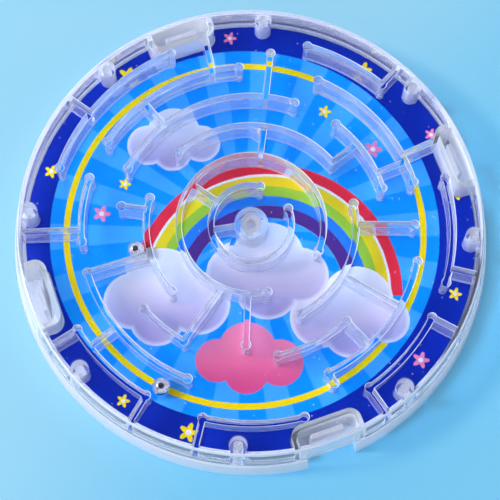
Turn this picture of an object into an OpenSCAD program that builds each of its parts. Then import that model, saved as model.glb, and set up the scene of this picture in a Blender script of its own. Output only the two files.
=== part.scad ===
// Round tilt maze with two loose steel balls
// A clear maze shell is pinned to a clear base pan, with a printed card held between them.
// Units are millimetres, +Z is up and the origin is the middle of the face it rests on.

/* [Case] */
// Outer radius of the case where it meets the table
case_base_r = 67; // [60:0.1:80]
// How far the side leans in from the table to the top face
side_lean = 2.6; // [1:0.1:5]
// Height of the base pan, up to the seam
pan_h = 6.8; // [5:0.1:12]
// Thickness of the pan's floor
pan_floor_t = 1.4; // [0.8:0.1:2.5]
// Thickness of the pan's skirt
skirt_t = 2; // [1.2:0.1:2.6]
// Thickness of the rim wall at the top face
rim_t = 1.4; // [1:0.1:2]
// How far the shell steps in at the seam
seam_step = 0.3; // [0:0.05:0.5]
// Thickness of the top plate
plate_t = 1.2; // [0.8:0.1:2.5]
// Number of equal lengths that the rim is cut into
rim_parts = 4; // [4:1:4]

/* [Maze walls] */
// Height of the maze walls, from the card to the top plate
wall_h = 8.2; // [6:0.1:12]
// Thickness of the maze walls
wall_t = 1.5; // [1:0.1:2]
// Diameter of the round knob on each free wall end
knob_d = 2.4; // [2:0.1:2.6]
// Clear width of the lane inside the rim
outer_lane = 6.65; // [6.2:0.05:7.4]
// Radius of the innermost ring of wall
inner_ring_r = 11.1; // [9.8:0.1:12.4]
// Gap left where one run of wall meets another
wall_fit = 0.02; // [0:0.01:0.1]

/* [First ring] */
// Ends of the right-hand upper arc
a1_span = [50, 75]; // [0:0.1:400]
// Ends of the left-hand upper arc
a2_span = [116, 165]; // [0:0.1:400]
// Spoke from that arc to the rim
a2_spoke = 146; // [0:0.1:400]
// Ends of the left-hand lower arc
a3_span = [214.6, 241.6]; // [0:0.1:400]
// Spoke from that arc to the second ring
a3_spoke = 220.8; // [0:0.1:400]
// Ends of the lower arc
a4_span = [258.4, 286.5]; // [0:0.1:400]
// Ends of the right-hand lower arc
a5_span = [306.3, 333.3]; // [0:0.1:400]
// Ends of the right-hand arc
a6_span = [344.3, 375.9]; // [0:0.1:400]
// Spoke from that arc to the rim
a6_spoke = 348.6; // [0:0.1:400]

/* [Second ring] */
// Ends of the right-hand upper arc
b1_span = [17, 67.8]; // [0:0.1:400]
// Spoke from that arc to the right-hand bay
b1_bay_spoke = 27.3; // [0:0.1:400]
// Spoke from that arc to the third ring
b1_spoke = 24.8; // [0:0.1:400]
// Ends of the upper arc
b2_span = [96, 151]; // [0:0.1:400]
// Spoke from that arc to the upper bay
b2_bay_spoke = 105.2; // [0:0.1:400]
// Spoke from that arc to the third ring
b2_spoke = 132; // [0:0.1:400]
// Ends of the left-hand arc
b3_span = [165.5, 188.4]; // [0:0.1:400]
// Spoke from that arc to the rim
b3_spoke = 184.3; // [0:0.1:400]
// Ends of the left-hand lower arc
b4_span = [199.5, 250.5]; // [0:0.1:400]
// Ends of the right-hand lower arc
b5_span = [298.2, 348.5]; // [0:0.1:400]
// Spoke from that arc to the fourth ring
b5_spoke = 331.4; // [0:0.1:400]
// How far the short spur at its start ends from the first ring
b5_spur_gap = 5.8; // [4:0.1:8]

/* [Third ring] */
// Ends of the right-hand upper arc
c1_span = [17.8, 52.8]; // [0:0.1:400]
// Spoke from that arc to the fourth ring
c1_spoke = 40.2; // [0:0.1:400]
// Ends of the upper arc
c2_span = [73, 156.8]; // [0:0.1:400]
// Angle of the long spur on that arc
c2_spur_at = 85.6; // [0:0.1:400]
// How far that spur ends from the first ring
c2_spur_gap = 4.4; // [3:0.1:6]
// Ends of the left-hand lower arc
c3_span = [222, 243.2]; // [0:0.1:400]
// Angle where its slanted wall meets the fifth ring
c3_slant_to = 248.8; // [0:0.1:400]
// Ends of the lower arc
c4_span = [282.7, 314.8]; // [0:0.1:400]

/* [Fourth ring] */
// Ends of the right-hand arc
d1_span = [299.5, 373.5]; // [0:0.1:400]
// Angle of the spur on that arc
d1_spur_at = 361.5; // [0:0.1:400]
// How far that spur ends from the second ring
d1_spur_gap = 1.7; // [1.4:0.1:6]
// Ends of the left-hand arc
d2_span = [167.2, 223.5]; // [0:0.1:400]
// Angle of the spur on that arc
d2_spur_at = 174; // [0:0.1:400]
// How far that spur ends from the third ring
d2_spur_gap = 1.7; // [1.4:0.1:5]
// Ends of the upper arc
d3_span = [38.8, 136.6]; // [0:0.1:400]
// Spoke from that arc to the fifth ring
d3_spoke = 84.5; // [0:0.1:400]

/* [Fifth and sixth rings] */
// Ends of the fifth ring
e1_span = [-21, 284.5]; // [-60:0.1:400]
// Angle of the spur on the fifth ring
e1_spur_at = 269.4; // [0:0.1:400]
// How far that spur ends from the third ring
e1_spur_gap = 3.6; // [2:0.1:6]
// Spoke from the fifth ring to the sixth
e1_spoke = 147.4; // [0:0.1:400]
// Ends of the sixth ring
f1_span = [79, 385]; // [0:0.1:400]
// Spoke from the sixth ring to the centre tube
f1_spoke = 192; // [0:0.1:400]

/* [Tubes and pins] */
// Number of tubes around the rim
tube_count = 8; // [8:1:8]
// Angle of the first tube
tube_phase = -1.4; // [-4:0.1:4]
// Outer diameter of a rim tube
tube_d = 4.8; // [4.2:0.1:5]
// How far each tube's axis stands in from the rim
tube_inset = 1.6; // [1.5:0.1:2.2]
// Diameter of the pins
pin_d = 2.4; // [1.8:0.1:2.6]
// Gap around each pin, all round
pin_fit = 0.05; // [0.02:0.01:0.1]
// How far the pins stop short of the top plate
pin_short = 0.6; // [0.2:0.1:3]
// Diameter of the bosses that carry the card
boss_d = 4.6; // [3.6:0.1:5]
// Outer diameter of the centre tube
hub_d = 9.2; // [8:0.1:11]
// Diameter of the centre pin
hub_pin_d = 5.6; // [3:0.1:6]

/* [Bays] */
// Angle of the first of the four bays
bay_phase = 21.2; // [18:0.1:24]
// Width of a bay
bay_w = 19.4; // [16:0.1:20]
// Gap from the knobs on the first ring to a bay's inner face
bay_gap = 0.1; // [0.05:0.05:0.6]
// Radius of a bay's inner corners
bay_corner_r = 3.2; // [2:0.1:4.5]
// Width of the clip in each bay
clip_w = 9; // [5:0.1:12]
// Thickness of the clip in each bay
clip_t = 1.2; // [0.8:0.1:1.6]
// Gap from the bay's inner wall to its clip
clip_gap = 1.6; // [1:0.1:2]
// How far the clips stop short of the top plate
clip_short = 2.4; // [1:0.1:5]
// Width of the finger notch in the front bay
notch_w = 13.8; // [10:0.1:16]
// Wall left standing behind and beside the finger notch
notch_wall = 1; // [0.6:0.1:1.2]

/* [Card and balls] */
// Thickness of the printed card
card_t = 0.4; // [0.2:0.05:0.8]
// Gap around the card's edge and holes
card_fit = 0.2; // [0.1:0.05:0.4]
// Diameter of the steel balls
ball_d = 5; // [4:0.1:5.2]
// Clearance under and beside each ball
ball_gap = 0.3; // [0.1:0.05:0.5]
// Angle where the first ball lies
ball_1_at = 192.6; // [181:0.1:193]
// Angle where the second ball lies
ball_2_at = 243.3; // [226:0.1:290]

/* [Hidden] */
$fn = 96;

// Heights
card_top = pan_h + card_t;
plate_z = card_top + wall_h;
total_h = plate_z + plate_t;
case_top_r = case_base_r - side_lean;
rim_in_r = case_top_r - rim_t;
// Rings, counted from the outside
ring_count = 6;
ring_1_r = rim_in_r - outer_lane - wall_t / 2;
pitch = (ring_1_r - inner_ring_r) / (ring_count - 1);
function ring_r(n) = ring_1_r - (n - 1) * pitch;
// The sloping side of the case
function side_r(z) = case_base_r - (case_base_r - case_top_r) * z / total_h;
function shell_r(z) = side_r(z) - seam_step;
tube_r = rim_in_r - tube_inset;
bay_step = 90;
front_bay = bay_phase + 3 * bay_step;
bore_d = pin_d + 2 * pin_fit;
hub_bore_d = hub_pin_d + 2 * pin_fit;
pin_top = plate_z - pin_short;
bay_in_r = ring_1_r + knob_d / 2 + bay_gap;
clip_y = bay_in_r + wall_t + clip_gap;
over = 1;
// Straight steps in the edge of a sector, far outside the case
sector_steps = 12;

// Shared shapes

// The part of the plan between two angles
module sector(span) {
    reach = 2 * case_base_r;
    polygon(concat(
        [[0, 0]],
        [for (k = [0 : sector_steps]) let (a = span[0] + (span[1] - span[0]) * k / sector_steps)
            reach * [cos(a), sin(a)]]
    ));
}

// One arc of wall on a ring, with square ends
module arc(n, span) {
    intersection() {
        difference() {
            circle(r = ring_r(n) + wall_t / 2);
            circle(r = ring_r(n) - wall_t / 2);
        }
        sector(span);
    }
}

// A round knob on a ring
module knob(r, at) {
    rotate(at)
        translate([r, 0])
            circle(d = knob_d);
}

// A straight wall along a radius
module spoke(r_in, r_out, at) {
    rotate(at)
        translate([r_in, -wall_t / 2])
            square([r_out - r_in, wall_t]);
}

// A spoke from a ring outwards that ends on a knob, short of another ring
module spur(n, other, gap, at) {
    end = ring_r(other) - gap;
    spoke(ring_r(n), end, at);
    knob(end, at);
}

// A spoke from a ring outwards, trimmed to a round face
module spoke_out(n, r, at) {
    intersection() {
        spoke(ring_r(n), r + over, at);
        circle(r = r);
    }
}

// A spoke from a ring inwards, trimmed to a round face
module spoke_in(n, r, at) {
    difference() {
        spoke(r - over, ring_r(n), at);
        circle(r = r);
    }
}

// A spoke from the second ring outwards, trimmed to a bay
module spoke_to_bay(bay_at, at) {
    difference() {
        spoke(ring_r(2), rim_in_r, at);
        rotate(bay_at - 90)
            bay_plan(-wall_fit);
    }
}

// Raises a plan to a run of wall, from the card to the top plate
module raised() {
    color([0.87, 0.9, 0.98, 0.35])
        translate([0, 0, card_top])
            linear_extrude(height = wall_h)
                children();
}

// Inner and outer faces of a ring, less the fit
function ring_in(n) = ring_r(n) - wall_t / 2 - wall_fit;
function ring_out(n) = ring_r(n) + wall_t / 2 + wall_fit;

// Plan of a bay, round at its two inner corners
module bay_plan(inset) {
    w = bay_w / 2 - inset;
    y = bay_in_r + inset;
    c = bay_corner_r - inset;
    translate([-w + c, y])
        square([2 * w - 2 * c, rim_in_r - y + over]);
    translate([-w, y + c])
        square([2 * w, rim_in_r - y - c + over]);
    translate([-w + c, y + c])
        circle(r = c);
    translate([w - c, y + c])
        circle(r = c);
}

// Everything inside a radius
module inside(r) {
    cylinder(h = total_h, r = r);
}

module bay_block(at, grow) {
    rotate([0, 0, at - 90])
        linear_extrude(height = total_h)
            bay_plan(-grow);
}

module bay(at) {
    intersection() {
        rotate([0, 0, at - 90])
            translate([0, 0, pan_floor_t])
                linear_extrude(height = plate_z - pan_floor_t)
                    difference() {
                        bay_plan(0);
                        bay_plan(wall_t);
                    }
        inside(rim_in_r);
    }
}

// The finger notch through the front of the case
module notch() {
    rotate([0, 0, front_bay - 90])
        translate([-notch_w / 2, rim_in_r + notch_wall, -over])
            cube([notch_w, case_base_r - rim_in_r, total_h + 2 * over]);
}

// One equal length of the rim wall
module rim_part(k) {
    rotate([0, 0, bay_phase - 180 / rim_parts + k * 360 / rim_parts])
        rotate_extrude(angle = 360 / rim_parts)
            polygon([
                [rim_in_r, pan_h],
                [shell_r(pan_h), pan_h],
                [shell_r(plate_z), plate_z],
                [rim_in_r, plate_z]
            ]);
}

module pin(d_low, d_high) {
    translate([0, 0, pan_floor_t])
        cylinder(h = pan_h - pan_floor_t, d = d_low);
    translate([0, 0, pan_floor_t])
        cylinder(h = pin_top - pan_floor_t, d = d_high);
}

module tube(d_out, d_bore) {
    translate([0, 0, card_top])
        difference() {
            cylinder(h = wall_h, d = d_out);
            translate([0, 0, -over])
                cylinder(h = wall_h + 2 * over, d = d_bore);
        }
}

// Where a ball lies, touching the outside of a ring
module ball(r, at) {
    rotate([0, 0, at])
        translate([r, 0, card_top + ball_gap + ball_d / 2])
            sphere(d = ball_d);
}

// Base pan

module base_floor() {
    color([0.86, 0.9, 0.97, 0.35])
        difference() {
            cylinder(h = pan_floor_t, r1 = case_base_r, r2 = side_r(pan_floor_t));
            notch();
        }
}

// The outside of the pan above its floor, as a solid
module pan_body() {
    translate([0, 0, pan_floor_t])
        cylinder(h = pan_h - pan_floor_t, r1 = side_r(pan_floor_t), r2 = side_r(pan_h));
}

// The pan's wall around the finger notch, before the notch is cut
module notch_frame() {
    w = notch_w + 2 * notch_wall;
    intersection() {
        rotate([0, 0, front_bay - 90])
            translate([-w / 2, rim_in_r, 0])
                cube([w, case_base_r - rim_in_r, total_h]);
        pan_body();
    }
}

module base_skirt() {
    color([0.84, 0.88, 0.96, 0.35])
        difference() {
            union() {
                rotate_extrude()
                    polygon([
                        [side_r(pan_floor_t) - skirt_t, pan_floor_t],
                        [side_r(pan_floor_t), pan_floor_t],
                        [side_r(pan_h), pan_h],
                        [side_r(pan_h) - skirt_t, pan_h]
                    ]);
                notch_frame();
            }
            notch();
        }
}

module rim_pins() {
    color([0.9, 0.92, 0.98, 0.4])
        for (k = [0 : tube_count - 1])
            rotate([0, 0, tube_phase + k * 360 / tube_count])
                translate([tube_r, 0, 0])
                    pin(boss_d, pin_d);
}

module centre_pin() {
    color([0.9, 0.92, 0.98, 0.4])
        pin(hub_d, hub_pin_d);
}

module clips() {
    color([0.93, 0.94, 0.98, 0.4])
        for (k = [0 : 3])
            rotate([0, 0, bay_phase + k * bay_step - 90])
                translate([-clip_w / 2, clip_y, pan_floor_t])
                    cube([clip_w, clip_t, plate_z - clip_short - pan_floor_t]);
}

// Printed card

// A slot for a rim pin, open at the card's edge
module card_slot(w) {
    cylinder(h = card_t + 2 * over, d = w);
    translate([0, -w / 2, 0])
        cube([tube_inset + over, w, card_t + 2 * over]);
}

module card() {
    color([0.1, 0.5, 0.95])
        difference() {
            translate([0, 0, pan_h])
                cylinder(h = card_t, r = rim_in_r - card_fit);
            for (k = [0 : 3])
                bay_block(bay_phase + k * bay_step, card_fit);
            for (k = [0 : tube_count - 1])
                rotate([0, 0, tube_phase + k * 360 / tube_count])
                    translate([tube_r, 0, pan_h - over])
                        card_slot(pin_d + 2 * card_fit);
            translate([0, 0, pan_h - over])
                cylinder(h = card_t + 2 * over, d = hub_pin_d + 2 * card_fit);
        }
}

// Maze shell

module rim_right() {
    color([0.85, 0.88, 0.97, 0.35])
        rim_part(0);
}

module rim_back() {
    color([0.85, 0.88, 0.97, 0.35])
        rim_part(1);
}

module rim_left() {
    color([0.85, 0.88, 0.97, 0.35])
        rim_part(2);
}

module rim_front() {
    color([0.85, 0.88, 0.97, 0.35])
        difference() {
            rim_part(3);
            notch();
        }
}

module bay_right() {
    color([0.88, 0.9, 0.98, 0.35])
        bay(bay_phase);
}

module bay_back() {
    color([0.88, 0.9, 0.98, 0.35])
        bay(bay_phase + bay_step);
}

module bay_left() {
    color([0.88, 0.9, 0.98, 0.35])
        bay(bay_phase + 2 * bay_step);
}

module bay_front() {
    color([0.88, 0.9, 0.98, 0.35])
        bay(front_bay);
}

module rim_tubes() {
    color([0.9, 0.92, 0.98, 0.35])
        intersection() {
            for (k = [0 : tube_count - 1])
                rotate([0, 0, tube_phase + k * 360 / tube_count])
                    translate([tube_r, 0, 0])
                        tube(tube_d, bore_d);
            inside(rim_in_r);
        }
}

module centre_tube() {
    color([0.9, 0.92, 0.98, 0.35])
        tube(hub_d, hub_bore_d);
}

module top_plate() {
    color([0.9, 0.93, 0.99, 0.25])
        difference() {
            translate([0, 0, plate_z])
                cylinder(h = plate_t, r1 = shell_r(plate_z), r2 = shell_r(total_h));
            notch();
        }
}

// First ring of walls

module wall_a1() {
    raised() {
        arc(1, a1_span);
        spoke_out(1, rim_in_r, a1_span[0]);
        knob(ring_r(1), a1_span[0]);
        knob(ring_r(1), a1_span[1]);
    }
}

module wall_a2() {
    raised() {
        arc(1, a2_span);
        spoke_out(1, rim_in_r, a2_spoke);
        knob(ring_r(1), a2_span[0]);
        knob(ring_r(1), a2_span[1]);
    }
}

module wall_a3() {
    raised() {
        arc(1, a3_span);
        spoke_out(1, rim_in_r, a3_span[0]);
        spoke_out(1, rim_in_r, a3_span[1]);
        spoke_in(1, ring_out(2), a3_spoke);
        knob(ring_r(1), a3_span[0]);
        knob(ring_r(1), a3_span[1]);
    }
}

module wall_a4() {
    raised() {
        arc(1, a4_span);
        spoke_out(1, rim_in_r, a4_span[0]);
        knob(ring_r(1), a4_span[0]);
        knob(ring_r(1), a4_span[1]);
    }
}

module wall_a5() {
    raised() {
        arc(1, a5_span);
        spoke_out(1, rim_in_r, a5_span[0]);
        spoke_out(1, rim_in_r, a5_span[1]);
        knob(ring_r(1), a5_span[0]);
        knob(ring_r(1), a5_span[1]);
    }
}

module wall_a6() {
    raised() {
        arc(1, a6_span);
        spoke_out(1, rim_in_r, a6_spoke);
        knob(ring_r(1), a6_span[0]);
        knob(ring_r(1), a6_span[1]);
    }
}

// Second ring of walls

module wall_b1() {
    raised() {
        arc(2, b1_span);
        spoke_to_bay(bay_phase, b1_bay_spoke);
        spoke_in(2, ring_out(3), b1_spoke);
        knob(ring_r(2), b1_span[0]);
        knob(ring_r(2), b1_span[1]);
    }
}

module wall_b2() {
    raised() {
        arc(2, b2_span);
        spoke_to_bay(bay_phase + bay_step, b2_bay_spoke);
        spoke_in(2, ring_out(3), b2_spoke);
        knob(ring_r(2), b2_span[0]);
        knob(ring_r(2), b2_span[1]);
    }
}

module wall_b3() {
    raised() {
        arc(2, b3_span);
        spoke_out(2, rim_in_r, b3_spoke);
        knob(ring_r(2), b3_span[0]);
        knob(ring_r(2), b3_span[1]);
    }
}

module wall_b4() {
    raised() {
        arc(2, b4_span);
        spoke_in(2, ring_out(4), b4_span[0]);
        knob(ring_r(2), b4_span[0]);
        knob(ring_r(2), b4_span[1]);
    }
}

module wall_b5() {
    raised() {
        arc(2, b5_span);
        spoke_in(2, ring_out(4), b5_spoke);
        spur(2, 1, b5_spur_gap, b5_span[0]);
        knob(ring_r(2), b5_span[0]);
        knob(ring_r(2), b5_span[1]);
    }
}

// Third ring of walls

module wall_c1() {
    raised() {
        arc(3, c1_span);
        spoke_in(3, ring_out(4), c1_spoke);
        knob(ring_r(3), c1_span[0]);
        knob(ring_r(3), c1_span[1]);
    }
}

module wall_c2() {
    raised() {
        arc(3, c2_span);
        spur(3, 1, c2_spur_gap, c2_spur_at);
        knob(ring_r(3), c2_span[0]);
        knob(ring_r(3), c2_span[1]);
    }
}

// The wall from the third ring to the fifth leans off the radius
slant_from = ring_r(3) * [cos(c3_span[1]), sin(c3_span[1])];
slant_to = ring_r(5) * [cos(c3_slant_to), sin(c3_slant_to)];
slant_len = norm(slant_from - slant_to);
slant_at = atan2(slant_from[1] - slant_to[1], slant_from[0] - slant_to[0]);

module wall_c3() {
    raised() {
        arc(3, c3_span);
        difference() {
            translate(slant_to)
                rotate(slant_at)
                    translate([0, -wall_t / 2])
                        square([slant_len, wall_t]);
            circle(r = ring_out(5));
        }
        knob(ring_r(3), c3_span[0]);
        knob(ring_r(3), c3_span[1]);
    }
}

module wall_c4() {
    raised() {
        arc(3, c4_span);
        spoke_out(3, ring_in(2), c4_span[1]);
        knob(ring_r(3), c4_span[0]);
        knob(ring_r(3), c4_span[1]);
    }
}

// Fourth ring of walls

module wall_d1() {
    raised() {
        arc(4, d1_span);
        spur(4, 2, d1_spur_gap, d1_spur_at);
        knob(ring_r(4), d1_span[0]);
        knob(ring_r(4), d1_span[1]);
    }
}

module wall_d2() {
    raised() {
        arc(4, d2_span);
        spur(4, 3, d2_spur_gap, d2_spur_at);
        knob(ring_r(4), d2_span[0]);
        knob(ring_r(4), d2_span[1]);
    }
}

module wall_d3() {
    raised() {
        arc(4, d3_span);
        spoke_in(4, ring_out(5), d3_spoke);
        knob(ring_r(4), d3_span[1]);
    }
}

// Inner rings of walls

module wall_e1() {
    raised() {
        arc(5, e1_span);
        spur(5, 3, e1_spur_gap, e1_spur_at);
        spoke_in(5, ring_out(6), e1_spoke);
        knob(ring_r(5), e1_span[0]);
        knob(ring_r(5), e1_span[1]);
    }
}

module wall_f1() {
    raised() {
        arc(6, f1_span);
        spoke_in(6, hub_d / 2 + wall_fit, f1_spoke);
        knob(ring_r(6), f1_span[0]);
        knob(ring_r(6), f1_span[1]);
    }
}

// Balls

module ball_1() {
    color([0.75, 0.75, 0.78])
        ball(ring_r(4) + wall_t / 2 + ball_gap + ball_d / 2, ball_1_at);
}

module ball_2() {
    color([0.75, 0.75, 0.78])
        ball(ring_r(2) + knob_d / 2 + ball_gap + ball_d / 2, ball_2_at);
}

base_floor();
base_skirt();
rim_pins();
centre_pin();
clips();
card();
rim_right();
rim_back();
rim_left();
rim_front();
bay_right();
bay_back();
bay_left();
bay_front();
rim_tubes();
centre_tube();
top_plate();
wall_a1();
wall_a2();
wall_a3();
wall_a4();
wall_a5();
wall_a6();
wall_b1();
wall_b2();
wall_b3();
wall_b4();
wall_b5();
wall_c1();
wall_c2();
wall_c3();
wall_c4();
wall_d1();
wall_d2();
wall_d3();
wall_e1();
wall_f1();
ball_1();
ball_2();
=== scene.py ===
import bmesh
import bpy
import math
from mathutils import Matrix, Vector


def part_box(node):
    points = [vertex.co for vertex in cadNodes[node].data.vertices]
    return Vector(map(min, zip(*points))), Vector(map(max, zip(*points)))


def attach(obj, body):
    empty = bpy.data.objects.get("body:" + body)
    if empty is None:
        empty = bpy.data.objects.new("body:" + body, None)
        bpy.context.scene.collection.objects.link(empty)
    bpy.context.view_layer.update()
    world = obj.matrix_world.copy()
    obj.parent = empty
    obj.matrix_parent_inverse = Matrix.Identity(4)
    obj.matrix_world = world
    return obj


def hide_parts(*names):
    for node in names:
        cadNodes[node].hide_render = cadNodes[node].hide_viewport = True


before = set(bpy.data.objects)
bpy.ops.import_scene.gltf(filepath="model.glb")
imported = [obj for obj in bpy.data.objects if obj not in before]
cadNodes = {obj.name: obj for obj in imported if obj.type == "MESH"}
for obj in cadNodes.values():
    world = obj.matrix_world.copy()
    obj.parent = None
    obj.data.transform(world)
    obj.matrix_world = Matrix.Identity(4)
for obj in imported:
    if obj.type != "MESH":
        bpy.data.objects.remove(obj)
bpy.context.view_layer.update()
mm = 0.001
tiny = 0.02 * mm         # heights closer than this are the same
touch = 0.006 * mm       # radii closer than this are the same
near = 0.03 * mm
scene = bpy.context.scene
scene.view_settings.view_transform = "Standard"
print("frame loaded,", len(cadNodes), "nodes")

# heights and radii that the frame already fixes
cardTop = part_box("card")[1].z
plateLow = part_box("top_plate")[0].z
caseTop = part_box("top_plate")[1].z
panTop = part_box("base_skirt")[1].z
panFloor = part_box("base_floor")[1].z

caseSize = {
    "baseRadius": 67.0 * mm,
    "sideLean": 2.6 * mm,        # how much the side draws in by the top
    "seamStep": 0.3 * mm,        # the upper shell stands this far inside the pan
    "rimInside": 63.0 * mm,
    "skirtWall": 2.0 * mm,
    "ringPitch": 8.9 * mm,
    "innerRing": 11.1 * mm,
    "halfWall": 0.77 * mm,       # half a wall and the fit beside it
    "hubEdge": 4.62 * mm,
    "rings": "abcdef",           # the walls' rings, from the outside in
    "bays": 4,
    "bayTurn": 21.2,             # degrees, first bay
    "tubes": 8,
    "tubeTurn": -1.4,            # degrees, first rim tube
    "tubeRadius": 61.4 * mm,
    "bayFace": 56.88 * mm,
    "sides": 240,
}


def sideRadius(height):
    return caseSize["baseRadius"] - caseSize["sideLean"] * height / caseTop


# the camera stands where the photograph was taken from
photoCamera = {
    "distance": 434 * mm,
    "elevation": 72.36,
    "roll": 1.88,
    "lens": 111.6,
    "shiftX": -0.0018,
    "shiftY": -0.0347,
    "sensor": 36,
    "clipStart": 10 * mm,
}
bpy.ops.object.select_all(action="DESELECT")
bpy.ops.object.camera_add()
camera = bpy.context.object
camera.name = "photoView"
camera.data.lens = photoCamera["lens"]
camera.data.sensor_width = photoCamera["sensor"]
camera.data.shift_x = photoCamera["shiftX"]
camera.data.shift_y = photoCamera["shiftY"]
camera.data.clip_start = photoCamera["clipStart"]
rise = math.radians(photoCamera["elevation"])
stand = Vector((0, -math.cos(rise), math.sin(rise))) * photoCamera["distance"]
stand = stand + Vector((0, 0, cardTop))
camera.matrix_world = (
    Matrix.Translation(stand)
    @ Matrix.Rotation(math.pi / 2 - rise, 4, "X")
    @ Matrix.Rotation(math.radians(photoCamera["roll"]), 4, "Z")
)
scene.camera = camera
print("camera placed")


# small helpers for working by hand in edit mode
def enterEdit(piece):
    bpy.ops.object.select_all(action="DESELECT")
    piece.select_set(True)
    bpy.context.view_layer.objects.active = piece
    bpy.ops.object.mode_set(mode="EDIT")
    bpy.ops.mesh.select_all(action="DESELECT")


def leaveEdit():
    bpy.ops.object.mode_set(mode="OBJECT")


def pick(piece, kind, test):
    bpy.ops.mesh.select_mode(type=kind)
    bpy.ops.mesh.select_all(action="DESELECT")
    mesh = bmesh.from_edit_mesh(piece.data)
    parts = {"VERT": mesh.verts, "EDGE": mesh.edges, "FACE": mesh.faces}[kind]
    count = 0
    for part in parts:
        if test(part):
            part.select_set(True)
            count += 1
    mesh.select_flush_mode()
    bmesh.update_edit_mesh(piece.data)
    return count


def flatRadius(vertex):
    return math.hypot(vertex.co.x, vertex.co.y)


def slide(x, y, z):
    bpy.ops.transform.translate(value=(x, y, z))


def swell(factor):
    bpy.ops.transform.resize(value=(factor, factor, 1), center_override=(0, 0, 0))


def pullUp(height):
    bpy.ops.mesh.extrude_region_move(TRANSFORM_OT_translate={"value": (0, 0, height)})


def fuse(piece, other, way="UNION"):
    bpy.ops.object.select_all(action="DESELECT")
    bpy.context.view_layer.objects.active = piece
    bpy.ops.object.modifier_add(type="BOOLEAN")
    join = piece.modifiers[-1]
    join.operation = way
    join.solver = "MANIFOLD"
    join.object = other
    bpy.ops.object.modifier_apply(modifier=join.name)
    bpy.data.objects.remove(other)


nodeCopy = {"mergeGap": 0.001 * mm, "flatAngle": 0.4}


def copyNode(name):
    bpy.ops.object.select_all(action="DESELECT")
    cadNodes[name].select_set(True)
    bpy.context.view_layer.objects.active = cadNodes[name]
    bpy.ops.object.duplicate()
    copy = bpy.context.object
    copy.parent = None
    for key in list(copy.keys()):
        del copy[key]
    copy.data.materials.clear()
    enterEdit(copy)
    bpy.ops.mesh.select_all(action="SELECT")
    bpy.ops.mesh.remove_doubles(threshold=nodeCopy["mergeGap"])
    bpy.ops.mesh.dissolve_limited(angle_limit=math.radians(nodeCopy["flatAngle"]))
    leaveEdit()
    return copy


def smoothEdges(piece, angle):
    bpy.ops.object.select_all(action="DESELECT")
    piece.select_set(True)
    bpy.context.view_layer.objects.active = piece
    bpy.ops.object.shade_smooth_by_angle(angle=math.radians(angle))


# one box that cuts the finger notch through both mouldings
fingerNotch = {
    "width": 13.8 * mm,
    "face": 64.0 * mm,
    "depth": 8 * mm,
    "corner": 0.5 * mm,
    "turn": 291.2,
}


def notchBox(grow=0.0):
    bpy.ops.object.select_all(action="DESELECT")
    bpy.ops.mesh.primitive_cube_add(size=1)
    box = bpy.context.object
    enterEdit(box)
    bpy.ops.mesh.select_all(action="SELECT")
    width = fingerNotch["width"] + 2 * grow
    bpy.ops.transform.resize(value=(fingerNotch["depth"], width, 3 * caseTop))
    slide(fingerNotch["face"] - grow + fingerNotch["depth"] / 2, 0, caseTop / 2)
    pick(box, "EDGE", lambda e: abs(e.verts[0].co.z - e.verts[1].co.z) > caseTop
         and e.verts[0].co.x < fingerNotch["face"] + mm)
    bpy.ops.mesh.bevel(offset=fingerNotch["corner"], segments=3, affect="EDGES")
    leaveEdit()
    box.rotation_euler.z = math.radians(fingerNotch["turn"])
    bpy.ops.object.transform_apply(location=False, rotation=True, scale=False)
    return box


# the clear upper shell: plate, rim, lane walls, posts and bays are one moulding
shellFinish = {
    "topRound": 0.55 * mm,
    "footRound": 0.14 * mm,
    "lift": 0.05 * mm,       # keeps the moulding off the card and the pan
    "sink": 0.5 * mm,        # how far a wall runs up into the plate
    "reach": 0.3 * mm,       # how far a wall runs into its neighbour
    "rootFlare": 0.18 * mm,
    "rootDrop": 0.32 * mm,
    "flatEdge": 0.4 * mm,    # keeps the flat of the plate flat beside its rounded edge
    "smoothAngle": 28,
}


def makeCup():
    low = sideRadius(panTop) - caseSize["seamStep"]
    high = sideRadius(caseTop) - caseSize["seamStep"]
    bpy.ops.object.select_all(action="DESELECT")
    bpy.ops.mesh.primitive_cylinder_add(vertices=caseSize["sides"], radius=low, depth=caseTop - panTop,
                                        location=(0, 0, (caseTop + panTop) / 2))
    cup = bpy.context.object
    cup.name = "mazeShell"
    bpy.ops.object.transform_apply(location=True, rotation=False, scale=False)
    enterEdit(cup)
    pick(cup, "VERT", lambda v: v.co.z > caseTop - tiny)
    swell(high / low)
    pick(cup, "FACE", lambda f: f.normal.z < -0.9)
    bpy.ops.mesh.inset(thickness=low - caseSize["rimInside"])
    pullUp(plateLow - panTop)
    pick(cup, "EDGE", lambda e: all(v.co.z > caseTop - tiny for v in e.verts))
    bpy.ops.mesh.bevel(offset=shellFinish["topRound"], segments=4, affect="EDGES")
    pick(cup, "FACE", lambda f: f.normal.z > 0.999)
    bpy.ops.mesh.inset(thickness=shellFinish["flatEdge"])
    pick(cup, "EDGE", lambda e: all(v.co.z < panTop + tiny for v in e.verts)
         and abs(flatRadius(e.verts[0]) - flatRadius(e.verts[1])) < tiny)
    bpy.ops.mesh.bevel(offset=shellFinish["footRound"], segments=2, affect="EDGES")
    pick(cup, "VERT", lambda v: v.co.z < panTop + tiny)
    slide(0, 0, shellFinish["lift"])
    leaveEdit()
    return cup


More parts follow.
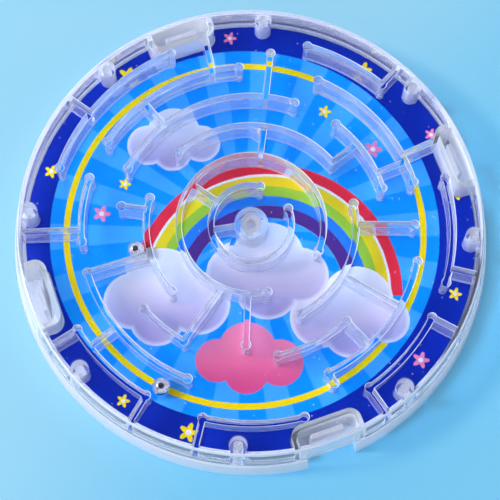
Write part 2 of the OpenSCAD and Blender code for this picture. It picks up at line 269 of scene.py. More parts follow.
def reachNeighbours(part, name):
    reach = shellFinish["reach"]
    rimInside = caseSize["rimInside"]
    enterEdit(part)
    if pick(part, "VERT", lambda v: flatRadius(v) > rimInside - near):
        swell((rimInside + reach) / rimInside)
    if not name.startswith("wall_"):
        leaveEdit()
        return
    ownRing = caseSize["rings"].index(name[5])
    lastRing = len(caseSize["rings"]) - 1
    for ring in range(lastRing + 1):
        if ring == ownRing:
            continue
        middle = caseSize["innerRing"] + caseSize["ringPitch"] * (lastRing - ring)
        for side in (1, -1):
            edge = middle + side * caseSize["halfWall"]
            if pick(part, "VERT", lambda v: abs(flatRadius(v) - edge) < touch):
                swell((edge - side * reach) / edge)
    hubEdge = caseSize["hubEdge"]
    if pick(part, "VERT", lambda v: abs(flatRadius(v) - hubEdge) < touch):
        swell((hubEdge - reach) / hubEdge)
    for turn in range(caseSize["bays"]):
        angle = math.radians(caseSize["bayTurn"] + 360 / caseSize["bays"] * turn)
        out = Vector((math.cos(angle), math.sin(angle), 0))
        if pick(part, "VERT", lambda v: abs(v.co.dot(out) - caseSize["bayFace"]) < touch):
            slide(*(out * reach))
    leaveEdit()


def roundFoot(part, low):
    enterEdit(part)
    pick(part, "FACE", lambda f: f.normal.z < -0.9 and f.calc_center_median().z < low + tiny)
    bpy.ops.mesh.region_to_loop()
    bpy.ops.mesh.bevel(offset=shellFinish["footRound"], segments=2, affect="EDGES")
    pick(part, "VERT", lambda v: v.co.z < low + near)
    slide(0, 0, shellFinish["lift"])
    leaveEdit()


def flareRoot(part):
    enterEdit(part)
    pick(part, "FACE", lambda f: f.normal.z > 0.9 and f.calc_center_median().z > plateLow - tiny)
    bpy.ops.mesh.delete(type="FACE")
    pick(part, "VERT", lambda v: v.co.z > plateLow - tiny)
    slide(0, 0, -shellFinish["rootDrop"])
    bpy.ops.mesh.select_mode(type="EDGE")
    pullUp(shellFinish["rootDrop"])
    bpy.ops.transform.shrink_fatten(value=shellFinish["rootFlare"], use_even_offset=True)
    pullUp(shellFinish["sink"])
    bpy.ops.mesh.edge_face_add()
    leaveEdit()


def raiseTop(part):
    enterEdit(part)
    pick(part, "VERT", lambda v: v.co.z > plateLow - tiny)
    slide(0, 0, shellFinish["sink"])
    leaveEdit()


mazeShell = makeCup()
wallNames = sorted(name for name in cadNodes if name.startswith("wall_"))
bayNames = sorted(name for name in cadNodes if name.startswith("bay_"))
rimNames = sorted(name for name in cadNodes if name.startswith("rim_"))
rimNames = [name for name in rimNames if name not in ("rim_pins", "rim_tubes")]
for name in bayNames + ["rim_tubes", "centre_tube"]:
    part = copyNode(name)
    reachNeighbours(part, name)
    roundFoot(part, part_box(name)[0].z)
    raiseTop(part)
    fuse(mazeShell, part)
for name in wallNames:
    part = copyNode(name)
    reachNeighbours(part, name)
    roundFoot(part, cardTop)
    flareRoot(part)
    fuse(mazeShell, part)
fuse(mazeShell, notchBox(), "DIFFERENCE")
smoothEdges(mazeShell, shellFinish["smoothAngle"])
print("shell moulded,", len(mazeShell.data.polygons), "faces")


# the clear pan under the card, with its pins and bay tongues
panFinish = {
    "rimRound": 0.2 * mm,
    "footRound": 0.5 * mm,
    "flatEdge": 0.4 * mm,
    "sink": 0.3 * mm,            # how far a pin or tongue runs down into the floor
    "notchWall": 1.0 * mm,       # a wall behind the notch keeps the pan closed
    "notchWallTop": 0.1 * mm,    # below the pan's lip
    "notchWallFoot": 0.6 * mm,
    "notchWallDraw": 65.4 / 72.0,
    "dimpleLip": 1.4 * mm,
    "dimpleDepth": 3.2 * mm,
    "pinRound": 0.15 * mm,
    "smoothAngle": 28,
}


def makePan():
    foot = caseSize["baseRadius"]
    lip = sideRadius(panTop)
    bpy.ops.object.select_all(action="DESELECT")
    bpy.ops.mesh.primitive_cylinder_add(vertices=caseSize["sides"], radius=foot, depth=panTop,
                                        location=(0, 0, panTop / 2))
    pan = bpy.context.object
    pan.name = "basePan"
    bpy.ops.object.transform_apply(location=True, rotation=False, scale=False)
    enterEdit(pan)
    pick(pan, "VERT", lambda v: v.co.z > panTop - tiny)
    swell(lip / foot)
    pick(pan, "FACE", lambda f: f.normal.z > 0.9)
    bpy.ops.mesh.inset(thickness=caseSize["skirtWall"])
    pullUp(panFloor - panTop)
    pick(pan, "EDGE", lambda e: all(v.co.z < tiny for v in e.verts))
    bpy.ops.mesh.bevel(offset=panFinish["footRound"], segments=3, affect="EDGES")
    pick(pan, "FACE", lambda f: f.normal.z < -0.999)
    bpy.ops.mesh.inset(thickness=panFinish["flatEdge"])
    pick(pan, "EDGE", lambda e: all(v.co.z > panTop - tiny for v in e.verts)
         and abs(flatRadius(e.verts[0]) - flatRadius(e.verts[1])) < tiny)
    bpy.ops.mesh.bevel(offset=panFinish["rimRound"], segments=2, affect="EDGES")
    leaveEdit()
    return pan


def sinkFoot(part, low):
    enterEdit(part)
    pick(part, "VERT", lambda v: v.co.z < low + tiny)
    slide(0, 0, -panFinish["sink"])
    leaveEdit()


basePan = makePan()
wallBlock = notchBox(panFinish["notchWall"])
enterEdit(wallBlock)
pick(wallBlock, "VERT", lambda v: v.co.z > caseTop)
slide(0, 0, panTop - panFinish["notchWallTop"] - 2 * caseTop)
pick(wallBlock, "VERT", lambda v: v.co.z < 0)
slide(0, 0, caseTop + panFinish["notchWallFoot"])
pick(wallBlock, "VERT", lambda v: flatRadius(v) > caseSize["baseRadius"])
swell(panFinish["notchWallDraw"])
leaveEdit()
fuse(basePan, wallBlock)
for name in ("rim_pins", "centre_pin", "clips"):
    part = copyNode(name)
    sinkFoot(part, panFloor)
    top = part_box(name)[1].z
    enterEdit(part)
    pick(part, "FACE", lambda f: f.normal.z > 0.9 and f.calc_center_median().z > top - tiny)
    if name == "centre_pin":
        bpy.ops.mesh.inset(thickness=panFinish["dimpleLip"])
        pullUp(-panFinish["dimpleDepth"])
        pick(part, "FACE", lambda f: f.normal.z > 0.9 and f.calc_center_median().z > top - tiny)
    bpy.ops.mesh.region_to_loop()
    bpy.ops.mesh.bevel(offset=panFinish["pinRound"], segments=2, affect="EDGES")
    leaveEdit()
    fuse(basePan, part)
fuse(basePan, notchBox(), "DIFFERENCE")
smoothEdges(basePan, panFinish["smoothAngle"])
print("pan moulded,", len(basePan.data.polygons), "faces")


# the two steel balls
ballFinish = {"cuts": 15, "smoothAngle": 60}


def makeBall(node, body, name):
    low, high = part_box(node)
    middle = (low + high) / 2
    bpy.ops.object.select_all(action="DESELECT")
    bpy.ops.mesh.primitive_cube_add(size=1, location=middle)
    ball = bpy.context.object
    ball.name = name
    bpy.ops.object.transform_apply(location=True, rotation=False, scale=False)
    enterEdit(ball)
    bpy.ops.mesh.select_all(action="SELECT")
    bpy.ops.mesh.subdivide(number_cuts=ballFinish["cuts"])
    bpy.ops.transform.tosphere(value=1)
    leaveEdit()
    size = max((v.co - middle).length for v in ball.data.vertices)
    enterEdit(ball)
    bpy.ops.mesh.select_all(action="SELECT")
    factor = (high.z - low.z) / 2 / size
    bpy.ops.transform.resize(value=(factor, factor, factor), center_override=middle)
    leaveEdit()
    smoothEdges(ball, ballFinish["smoothAngle"])
    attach(ball, body)
    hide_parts(node)
    return ball


balls = [
    makeBall("ball_1", "first_ball", "steelBall1"),
    makeBall("ball_2", "second_ball", "steelBall2"),
]
print("balls made")

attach(mazeShell, "case")
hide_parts("top_plate", "rim_tubes", "centre_tube", *rimNames, *bayNames, *wallNames)
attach(basePan, "case")
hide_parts("base_floor", "base_skirt", "rim_pins", "centre_pin", "clips")


# material helpers
def newMaterial(name):
    material = bpy.data.materials.new(name)
    material.use_nodes = True
    material.node_tree.nodes.clear()
    return material, material.node_tree


def feed(tree, socket, value):
    if isinstance(value, bpy.types.NodeSocket):
        tree.links.new(value, socket)
    else:
        socket.default_value = value


def calc(tree, work, first, second=0.0, third=0.0, clamp=False):
    node = tree.nodes.new("ShaderNodeMath")
    node.operation = work
    node.use_clamp = clamp
    for socket, value in zip(node.inputs, (first, second, third)):
        feed(tree, socket, value)
    return node.outputs[0]


def ramp(tree, value, start, end, low=0.0, high=1.0):
    node = tree.nodes.new("ShaderNodeMapRange")
    node.interpolation_type = "SMOOTHSTEP"
    for socket, item in zip(node.inputs, (value, start, end, low, high)):
        feed(tree, socket, item)
    return node.outputs[0]


def blendColour(tree, amount, under, over):
    node = tree.nodes.new("ShaderNodeMix")
    node.data_type = "RGBA"
    for socket, item in zip((node.inputs[0], node.inputs[6], node.inputs[7]), (amount, under, over)):
        if isinstance(item, tuple):
            item = (*item, 1.0)
        feed(tree, socket, item)
    return node.outputs[2]


def noise(tree, vector, scale, detail=2.0):
    node = tree.nodes.new("ShaderNodeTexNoise")
    feed(tree, node.inputs["Vector"], vector)
    node.inputs["Scale"].default_value = scale
    node.inputs["Detail"].default_value = detail
    return node.outputs[0]


def bump(tree, height, strength, distance):
    node = tree.nodes.new("ShaderNodeBump")
    node.inputs["Strength"].default_value = strength
    node.inputs["Distance"].default_value = distance
    feed(tree, node.inputs["Height"], height)
    return node.outputs[0]


def objectPoint(tree):
    return tree.nodes.new("ShaderNodeTexCoord").outputs["Object"]


def splitPoint(tree, point):
    node = tree.nodes.new("ShaderNodeSeparateXYZ")
    feed(tree, node.inputs[0], point)
    return node.outputs


def closeMaterial(tree, shader):
    out = tree.nodes.new("ShaderNodeOutputMaterial")
    feed(tree, out.inputs["Surface"], shader)


# light loses a little at each face, and most where it leaves through the outside of the case
def passShadows(tree, shader, upright, radius, height):
    path = tree.nodes.new("ShaderNodeLightPath")
    clear = tree.nodes.new("ShaderNodeBsdfTransparent")
    rimZone = zone(tree, radius, "bayRing")
    side = blendColour(tree, rimZone, clearStyrene["shadeWall"], clearStyrene["shadeRim"])
    fromInside = tree.nodes.new("ShaderNodeNewGeometry").outputs["Backfacing"]
    footRadius = calc(tree, "MULTIPLY_ADD", height, caseSize["sideLean"] / caseTop, radius)
    leaving = calc(tree, "SUBTRACT", zone(tree, footRadius, "outerSkin"), fromInside, clamp=True)
    side = blendColour(tree, leaving, side, clearStyrene["shadeOutside"])
    tint = blendColour(tree, upright, clearStyrene["shadeFlat"], side)
    feed(tree, clear.inputs["Color"], tint)
    mix = tree.nodes.new("ShaderNodeMixShader")
    feed(tree, mix.inputs[0], path.outputs["Is Shadow Ray"])
    feed(tree, mix.inputs[1], shader)
    feed(tree, mix.inputs[2], clear.outputs[0])
    return mix.outputs[0]


# clear styrene, faintly milky on its upright faces, with a painted highlight of white milk along their roots
# and feet
clearStyrene = {
    "colour": (0.91, 0.92, 1.0),
    "wallMilk": 0.26,
    "innerRimMilk": -0.15,   # added on the rim's inner face
    "outerRimMilk": -0.17,
    "bayColour": (0.95, 0.95, 0.98),
    "bayMilk": 0.72,
    "bayFloorMilk": 0.7,     # on the flat faces under the plate
    "tubeMilk": 0.3,
    "hubHaze": 0.12,         # over the centre tube and the rim tubes
    # painted highlight: white milk along the walls' roots and feet stands in for the bright lines light
    # makes there
    "paintedEdgeHighlight": 0.8,
    "dust": 0.6,             # how strongly the few specks on the plate show
    "speckScale": 300,
    "speckSize": (0.06, 0.045),
    "cloudScale": 260,       # soft unevenness of the milk and the gloss
    "cloudMilk": 0.16,
    "cloudGloss": 0.06,
    "roughness": 0.02,
    "ior": 1.49,
    "waveScale": 420,        # faint waves in the moulded faces
    "waveStrength": 0.06,
    "waveHeight": 0.4 * mm,
    "shadeFlat": (0.96, 0.97, 0.98),     # what is left of light that passes a flat face
    "shadeWall": (0.7, 0.83, 0.93),
    "shadeRim": (0.9, 0.94, 0.97),
    "shadeOutside": (0.3, 0.58, 0.74),
}
clearPan = {
    "colour": (0.86, 0.88, 0.97),
    "panMilk": 0.7,          # below the card
    "pinMilk": 0.12,
    "pinTip": 0.3,
    "tongueMilk": 0.4,
    "tongueSide": 0.3,
    "hubPinMilk": 0.25,
    "bayFloorMilk": 0.2,
    "cloudScale": 220,
    "cloudMilk": 0.16,
    "cloudGloss": 0.08,
    "roughness": 0.05,
    "ior": 1.49,
    "waveScale": 360,
    "waveStrength": 0.08,
    "waveHeight": 0.4 * mm,
}

# where each kind of milk or shade begins and ends
clearZones = {
    "upright": (0.86, 0.96),                 # of the normal's rise
    "bayHalf": (9.9 * mm, 9.75 * mm),
    "bayFace": (-0.3 * mm, -0.1 * mm),       # from the bay's inner face
    "bayBack": (0.3 * mm, 0.1 * mm),         # from the inside of the rim
    "tube": (2.6 * mm, 2.45 * mm),
    "hub": (4.7 * mm, 4.6 * mm),
    "hubPin": (3.2 * mm, 3.0 * mm),
    "pinTip": (11 * mm, 12.5 * mm),
    "underPlate": (-0.2 * mm, -0.1 * mm),    # from the plate's lower face
    "root": (-0.45 * mm, -0.3 * mm),
    "foot": (0.8 * mm, 0.55 * mm),           # above the card
    "rimInner": (62.6 * mm, 62.9 * mm),
    "rimOuter": (63.3 * mm, 63.6 * mm),
    "bayRing": (56.0 * mm, 56.4 * mm),
    "outerSkin": (66.0 * mm, 66.2 * mm),
    "underCard": (panTop + 0.05 * mm, cardTop + 0.2 * mm),
}


def zone(tree, value, name, start=0.0, low=0.0, high=1.0):
    first, last = clearZones[name]
    return ramp(tree, value, start + first, start + last, low, high)


def uprightFaces(tree):
    normal = splitPoint(tree, tree.nodes.new("ShaderNodeNewGeometry").outputs["Normal"])[2]
    return zone(tree, calc(tree, "ABSOLUTE", normal), "upright", low=1, high=0)


def reachAndTurn(tree, x, y):
    radius = calc(tree, "SQRT", calc(tree, "MULTIPLY_ADD", x, x, calc(tree, "MULTIPLY", y, y)))
    return radius, calc(tree, "ARCTAN2", y, x)


# the same place in every one of the repeats round the case: how far out, and how far to the side
def foldTurn(tree, radius, turn, first, count):
    half = math.pi / count
    folded = calc(tree, "WRAP", calc(tree, "SUBTRACT", turn, math.radians(first)), half, -half)
    out = calc(tree, "MULTIPLY", radius, calc(tree, "COSINE", folded))
    return out, calc(tree, "MULTIPLY", radius, calc(tree, "SINE", folded))


def bayArea(tree, radius, turn):
    out, side = foldTurn(tree, radius, turn, caseSize["bayTurn"], caseSize["bays"])
    across = zone(tree, calc(tree, "ABSOLUTE", side), "bayHalf")
    beyondFace = zone(tree, out, "bayFace", caseSize["bayFace"])
    insideRim = zone(tree, radius, "bayBack", caseSize["rimInside"])
    return calc(tree, "MULTIPLY", calc(tree, "MULTIPLY", beyondFace, insideRim), across)


def tubeArea(tree, radius, turn):
    out, side = foldTurn(tree, radius, turn, caseSize["tubeTurn"], caseSize["tubes"])
    off = calc(tree, "SUBTRACT", out, caseSize["tubeRadius"])
    away = calc(tree, "SQRT", calc(tree, "MULTIPLY_ADD", off, off, calc(tree, "MULTIPLY", side, side)))
    return zone(tree, away, "tube")


def sumOf(tree, parts):
    total = parts[0]
    for part in parts[1:]:
        total = calc(tree, "ADD", total, part)
    return total


# milk makes the plastic less see-through
def clearBody(tree, finish, colour, milk, cloud, point):
    body = tree.nodes.new("ShaderNodeBsdfPrincipled")
    feed(tree, body.inputs["Base Color"], colour)
    body.inputs["IOR"].default_value = finish["ior"]
    feed(tree, body.inputs["Transmission Weight"], calc(tree, "SUBTRACT", 1.0, milk, clamp=True))
    gloss = calc(tree, "MULTIPLY_ADD", cloud, finish["cloudGloss"], finish["roughness"])
    feed(tree, body.inputs["Roughness"], gloss)
    waves = noise(tree, point, finish["waveScale"])
    feed(tree, body.inputs["Normal"], bump(tree, waves, finish["waveStrength"], finish["waveHeight"]))
    return body.outputs[0]


def clearShellMaterial():
    finish = clearStyrene
    material, tree = newMaterial("clearShell")
    point = objectPoint(tree)
    x, y, height = splitPoint(tree, point)
    radius, turn = reachAndTurn(tree, x, y)
    upright = uprightFaces(tree)
    underPlate = zone(tree, height, "underPlate", plateLow, low=1, high=0)
    bays = bayArea(tree, radius, turn)
    tubes = tubeArea(tree, radius, turn)
    hub = zone(tree, radius, "hub")
    root = zone(tree, height, "root", plateLow)
    foot = zone(tree, height, "foot", cardTop)
    cloud = noise(tree, point, finish["cloudScale"], 3)
    outerChange = finish["outerRimMilk"] - finish["innerRimMilk"]
    walls = sumOf(tree, (
        calc(tree, "MULTIPLY_ADD", cloud, finish["cloudMilk"], finish["wallMilk"] - finish["cloudMilk"] / 2),
        calc(tree, "MULTIPLY", bays, finish["bayMilk"]),
        calc(tree, "MULTIPLY", tubes, finish["tubeMilk"]),
        # painted highlight of white milk along the walls' roots and feet
        calc(tree, "MULTIPLY", calc(tree, "MAXIMUM", root, foot), finish["paintedEdgeHighlight"]),
        zone(tree, radius, "rimInner", high=finish["innerRimMilk"]),
        zone(tree, radius, "rimOuter", high=outerChange),
    ))
    dots = tree.nodes.new("ShaderNodeTexVoronoi")
    feed(tree, dots.inputs["Vector"], point)
    dots.inputs["Scale"].default_value = finish["speckScale"]
    flats = sumOf(tree, (
        ramp(tree, dots.outputs["Distance"], *finish["speckSize"], 0, finish["dust"]),
        calc(tree, "MULTIPLY", calc(tree, "MAXIMUM", tubes, hub), finish["hubHaze"]),
        calc(tree, "MULTIPLY", calc(tree, "MULTIPLY", bays, underPlate), finish["bayFloorMilk"]),
    ))
    milk = calc(tree, "MULTIPLY_ADD", walls, upright, flats, clamp=True)
    colour = blendColour(tree, bays, finish["colour"], finish["bayColour"])
    body = clearBody(tree, finish, colour, milk, cloud, point)
    closeMaterial(tree, passShadows(tree, body, upright, radius, height))
    return material


def clearPanMaterial():
    finish = clearPan
    material, tree = newMaterial("clearPan")
    point = objectPoint(tree)
    x, y, height = splitPoint(tree, point)
    radius, turn = reachAndTurn(tree, x, y)
    cloud = noise(tree, point, finish["cloudScale"], 3)
    upright = uprightFaces(tree)
    bays = bayArea(tree, radius, turn)
    underCard = zone(tree, height, "underCard", low=1, high=0)
    overCard = calc(tree, "SUBTRACT", 1.0, underCard)
    tips = calc(tree, "MULTIPLY", tubeArea(tree, radius, turn), zone(tree, height, "pinTip"))
    tongues = calc(tree, "MULTIPLY", overCard, bays)
    milk = sumOf(tree, (
        calc(tree, "MULTIPLY_ADD", cloud, finish["cloudMilk"], finish["pinMilk"] - finish["cloudMilk"] / 2),
        calc(tree, "MULTIPLY", underCard, finish["panMilk"]),
        calc(tree, "MULTIPLY", tongues, finish["tongueMilk"]),
        calc(tree, "MULTIPLY", calc(tree, "MULTIPLY", tongues, upright), finish["tongueSide"]),
        calc(tree, "MULTIPLY", calc(tree, "MULTIPLY", underCard, bays), finish["bayFloorMilk"]),
        calc(tree, "MULTIPLY", tips, finish["pinTip"]),
        zone(tree, radius, "hubPin", high=finish["hubPinMilk"]),
    ))
    body = clearBody(tree, finish, (*finish["colour"], 1), milk, cloud, point)
    closeMaterial(tree, passShadows(tree, body, upright, radius, height))
    return material


# polished bearing steel with a few fine marks
steelFinish = {
    "worn": (0.93, 0.88, 0.82),
    "bright": (1.0, 0.97, 0.92),
    "markScale": 1900,
    "markTone": (0.35, 0.7),
    "markGloss": (0.4, 0.75),
    "markStrength": 0.02,
    "markDepth": 0.05 * mm,
    "roughness": (0.05, 0.13),
}


def steelMaterial():
    material, tree = newMaterial("bearingSteel")
    point = objectPoint(tree)
    marks = noise(tree, point, steelFinish["markScale"], 4)
    tone = ramp(tree, marks, *steelFinish["markTone"])
    tone = blendColour(tree, tone, steelFinish["worn"], steelFinish["bright"])
    body = tree.nodes.new("ShaderNodeBsdfPrincipled")
    feed(tree, body.inputs["Base Color"], tone)
    body.inputs["Metallic"].default_value = 1
    gloss = ramp(tree, marks, *steelFinish["markGloss"], *steelFinish["roughness"])
    feed(tree, body.inputs["Roughness"], gloss)
    dents = bump(tree, marks, steelFinish["markStrength"], steelFinish["markDepth"])
    feed(tree, body.inputs["Normal"], dents)
    closeMaterial(tree, body.outputs[0])
    return material


# the printed card: rings, rays, an arch of bands with clouds, and flowers, all in millimetres
cardPrint = {
    "centre": (-1.7, 0.6),
    "discRadius": 54.5,
    "ringCentre": (-1.6, 0.4),
    "ringRadius": 49.9,
    "ringWidth": 1.7,
    "rays": 22,
    "rayEdge": 0.06,
    "night": (0.0, 0.014, 0.3),
    "nightLight": (0.0, 0.028, 0.44),
    "sky": (0.0, 0.31, 0.93),
    "skyLight": (0.05, 0.41, 0.97),
    "yellow": (1.0, 0.74, 0.0),
    "cloudWhite": (0.86, 0.86, 0.92),
    "cloudShade": (0.42, 0.36, 0.62),
    "cloudEdge": (0.95, 0.95, 0.98),
    "cloudEdgeWidth": (-1.6, -0.2),
    "cloudEdgeShow": 0.55,
    "pink": (0.95, 0.25, 0.42),
    "pinkShade": (0.75, 0.08, 0.25),
    "pinkFade": (-46, -28),
    "petals": 5,
    "petalSwing": 0.26,          # of a flower's size
    "flowerEye": 0.28,
    "grainScale": 0.09,
    "soft": 0.12,                # half the width of a printed edge
}
boardFinish = {
    "dark": (0.6, 0.6, 0.57),
    "light": (0.74, 0.73, 0.7),
    "fibreScale": 900,
    "gloss": 0.12,
    "roughness": (0.2, 0.3),     # from the fibre, and everywhere
    "fibreStrength": 0.05,
    "fibreDepth": 0.05 * mm,
    "printedSide": (0.4, 0.6),   # of the normal's rise
}
archBands = {
    "centre": (5.0, -17.0),
    "edges": (37.5, 34.4, 33.7, 30.8, 27.9, 25.0, 21.4),
    "colours": ((0.86, 0.03, 0.06), (0.9, 0.9, 0.93), (0.9, 0.68, 0.02), (0.36, 0.6, 0.05),
                (0.02, 0.22, 0.75), (0.09, 0.03, 0.24)),
}
cloudPuffs = (
    {"puffs": ((-32, -21, 8), (-24, -16, 10.5), (-14, -21, 9), (-25, -26, 7.5)), "low": -30, "high": -8},
    {"puffs": ((20, -24, 8.5), (30, -19, 10), (38, -24, 6.5), (28, -28, 7)), "low": -33, "high": -10},
    {"puffs": ((-4, -12, 8), (5, -7, 10), (14, -12, 8), (5, -16, 9)), "low": -24, "high": 2},
    {"puffs": ((-30, 25, 6), (-23, 29, 7.5), (-15, 26, 5.5), (-23, 23, 5.5)), "low": 18, "high": 35},
)
pinkPuffs = ((-8, -37, 6), (0, -34, 8), (9, -37, 6.5), (0, -40, 6))
flowerPlaces = (
    {"at": (57.5, 14), "size": 2.6, "colour": "yellow"}, {"at": (50.5, 31), "size": 1.9, "colour": "pink"},
    {"at": (31, 50.5), "size": 2.5, "colour": "yellow"}, {"at": (-8, 59), "size": 2.0, "colour": "pink"},
    {"at": (-37, 46), "size": 2.9, "colour": "yellow"}, {"at": (-57, 16), "size": 2.0, "colour": "yellow"},
    {"at": (-56, -22), "size": 2.5, "colour": "pink"}, {"at": (-33, -49), "size": 1.9, "colour": "yellow"},
    {"at": (-15, -57), "size": 2.7, "colour": "yellow"}, {"at": (47.5, -35), "size": 2.4, "colour": "pink"},
    {"at": (57, -16), "size": 1.9, "colour": "yellow"}, {"at": (34, 26), "size": 2.6, "colour": "pink"},
    {"at": (-42, 4), "size": 2.5, "colour": "pink"}, {"at": (20, 37), "size": 1.9, "colour": "yellow"},
    {"at": (-36, 13), "size": 1.8, "colour": "yellow"},
)


def cardMaterial():
    material, tree = newMaterial("printedCard")
    point = objectPoint(tree)
    scaled = tree.nodes.new("ShaderNodeVectorMath")
    scaled.operation = "SCALE"
    feed(tree, scaled.inputs[0], point)
    scaled.inputs["Scale"].default_value = 1000
    x, y = splitPoint(tree, scaled.outputs[0])[:2]
    soft = cardPrint["soft"]

    def away(place):
        return calc(tree, "SUBTRACT", x, place[0]), calc(tree, "SUBTRACT", y, place[1])

    def polar(place):
        return reachAndTurn(tree, *away(place))

    def inside(reach, edge):
        return ramp(tree, calc(tree, "SUBTRACT", reach, edge), soft, -soft)

    # night-blue border and sky disc with rays
    grain = noise(tree, scaled.outputs[0], cardPrint["grainScale"], 3)
    colour = blendColour(tree, grain, cardPrint["night"], cardPrint["nightLight"])
    fromCentre, turn = polar(cardPrint["centre"])
    wave = calc(tree, "SINE", calc(tree, "MULTIPLY", turn, cardPrint["rays"]))
    rayMask = ramp(tree, wave, -cardPrint["rayEdge"], cardPrint["rayEdge"])
    sky = blendColour(tree, rayMask, cardPrint["sky"], cardPrint["skyLight"])
    colour = blendColour(tree, inside(fromCentre, cardPrint["discRadius"]), colour, sky)
    fromRing = calc(tree, "SUBTRACT", polar(cardPrint["ringCentre"])[0], cardPrint["ringRadius"])
    ring = inside(calc(tree, "ABSOLUTE", fromRing), cardPrint["ringWidth"] / 2)
    colour = blendColour(tree, ring, colour, cardPrint["yellow"])

    # bands of the arch, from the outside in
    fromArch = polar(archBands["centre"])[0]
    archFoot, archInside = archBands["centre"][1], archBands["edges"][-1]
    above = ramp(tree, y, archFoot - soft, archFoot + soft)
    inner = ramp(tree, fromArch, archInside - soft, archInside + soft)
    archMask = calc(tree, "MULTIPLY", above, inner)
    for edge, band in zip(archBands["edges"], archBands["colours"]):
        mask = calc(tree, "MULTIPLY", inside(fromArch, edge), archMask)
        colour = blendColour(tree, mask, colour, band)

    # clouds shade from white above to lavender below
    def puffGap(puffs):
        gap = None
        for puff in puffs:
            one = calc(tree, "SUBTRACT", polar(puff[:2])[0], puff[2])
            gap = one if gap is None else calc(tree, "MINIMUM", gap, one)
        return gap

    for cloud in cloudPuffs:
        gap = puffGap(cloud["puffs"])
        shade = ramp(tree, y, cloud["low"], cloud["high"])
        tone = blendColour(tree, shade, cardPrint["cloudShade"], cardPrint["cloudWhite"])
        rim = ramp(tree, gap, *cardPrint["cloudEdgeWidth"], 0, cardPrint["cloudEdgeShow"])
        tone = blendColour(tree, rim, tone, cardPrint["cloudEdge"])
        colour = blendColour(tree, inside(gap, 0), colour, tone)
    shade = ramp(tree, y, *cardPrint["pinkFade"])
    tone = blendColour(tree, shade, cardPrint["pinkShade"], cardPrint["pink"])
    colour = blendColour(tree, inside(puffGap(pinkPuffs), 0), colour, tone)

    # five-petalled flowers with a pale eye
    for flower in flowerPlaces:
        fromEye, petalTurn = polar(flower["at"])
        petals = calc(tree, "COSINE", calc(tree, "MULTIPLY", petalTurn, cardPrint["petals"]))
        swing = cardPrint["petalSwing"] * flower["size"]
        edge = calc(tree, "MULTIPLY_ADD", petals, swing, flower["size"] - swing)
        colour = blendColour(tree, inside(fromEye, edge), colour, cardPrint[flower["colour"]])
        eye = inside(fromEye, cardPrint["flowerEye"] * flower["size"])
        colour = blendColour(tree, eye, colour, cardPrint["cloudWhite"])

    # bare board underneath and on the cut edge
    normal = splitPoint(tree, tree.nodes.new("ShaderNodeNewGeometry").outputs["Normal"])[2]
    fibre = noise(tree, point, boardFinish["fibreScale"], 4)
    board = blendColour(tree, fibre, boardFinish["dark"], boardFinish["light"])
    colour = blendColour(tree, ramp(tree, normal, *boardFinish["printedSide"]), board, colour)
    body = tree.nodes.new("ShaderNodeBsdfPrincipled")
    feed(tree, body.inputs["Base Color"], colour)
    body.inputs["Specular IOR Level"].default_value = boardFinish["gloss"]
    feed(tree, body.inputs["Roughness"], calc(tree, "MULTIPLY_ADD", fibre, *boardFinish["roughness"]))
    relief = bump(tree, fibre, boardFinish["fibreStrength"], boardFinish["fibreDepth"])
    feed(tree, body.inputs["Normal"], relief)
    closeMaterial(tree, body.outputs[0])
    return material


def dress(piece, material):
    piece.data.materials.clear()
    piece.data.materials.append(material)


dress(mazeShell, clearShellMaterial())
dress(basePan, clearPanMaterial())
steel = steelMaterial()
for ball in balls:
    dress(ball, steel)
dress(cadNodes["card"], cardMaterial())
print("materials set")


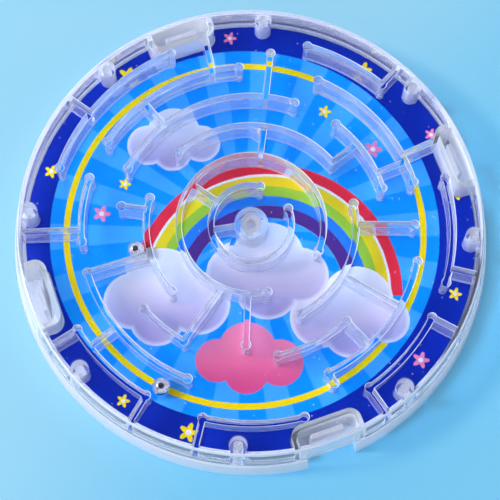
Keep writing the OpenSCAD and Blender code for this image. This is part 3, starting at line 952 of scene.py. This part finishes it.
# pale blue table top, with painted light falling from the left: lighter on the left, darker to the right
tableTop = {
    "size": 3.0,
    "drop": 0.02 * mm,
    # painted light: the lit colour on the left, the shaded colour on the right
    "left": (0.38, 0.79, 1.0),
    "right": (0.225, 0.7, 1.0),
    "paintedLightFade": (-25 * mm, 45 * mm),
    "across": (0.8, -0.6),
    "roughness": 0.75,
}
bpy.ops.object.select_all(action="DESELECT")
bpy.ops.mesh.primitive_plane_add(size=tableTop["size"], location=(0, 0, -tableTop["drop"]))
table = bpy.context.object
table.name = "tableTop"
bpy.ops.object.transform_apply(location=True, rotation=False, scale=False)
material, tree = newMaterial("tablePaper")
x, y = splitPoint(tree, objectPoint(tree))[:2]
alongY = calc(tree, "MULTIPLY", y, tableTop["across"][1])
sideways = calc(tree, "MULTIPLY_ADD", x, tableTop["across"][0], alongY)
# painted light fading from the left side to the right
shade = ramp(tree, sideways, *tableTop["paintedLightFade"])
body = tree.nodes.new("ShaderNodeBsdfPrincipled")
feed(tree, body.inputs["Base Color"], blendColour(tree, shade, tableTop["left"], tableTop["right"]))
body.inputs["Roughness"].default_value = tableTop["roughness"]
closeMaterial(tree, body.outputs[0])
dress(table, material)

# a soft key from the left, inside a ring of even light under a dark ceiling
studio = {
    "keyTurn": 177,
    "keyRise": 42,
    "keyAway": 2.6,
    "keySize": 0.46,
    "keyPower": 38.5,
    "keyColour": (0.93, 0.95, 1.0),
    "ringColour": (0.88, 0.92, 1.0),
    "ringLevel": 0.95,
    "ceilingLevel": 0.03,
    "ringEdge": (0.62, 0.88),    # sine of the rise where the ring fades
}
turn, rise = math.radians(studio["keyTurn"]), math.radians(studio["keyRise"])
aim = Vector((math.cos(rise) * math.cos(turn), math.cos(rise) * math.sin(turn), math.sin(rise)))
place = aim * studio["keyAway"]
bpy.ops.object.select_all(action="DESELECT")
bpy.ops.object.light_add(type="AREA", location=place)
lamp = bpy.context.object
lamp.name = "keyLight"
lamp.data.energy = studio["keyPower"]
lamp.data.size = studio["keySize"]
lamp.data.color = studio["keyColour"]
lamp.rotation_euler = place.to_track_quat("Z", "Y").to_euler()
world = bpy.data.worlds.new("studio")
world.use_nodes = True
tree = world.node_tree
backdrop = tree.nodes["Background"]
backdrop.inputs["Color"].default_value = (*studio["ringColour"], 1)
skyward = splitPoint(tree, tree.nodes.new("ShaderNodeTexCoord").outputs["Generated"])[2]
level = ramp(tree, skyward, *studio["ringEdge"], studio["ringLevel"], studio["ceilingLevel"])
feed(tree, backdrop.inputs["Strength"], level)
scene.world = world
print("table and light set")
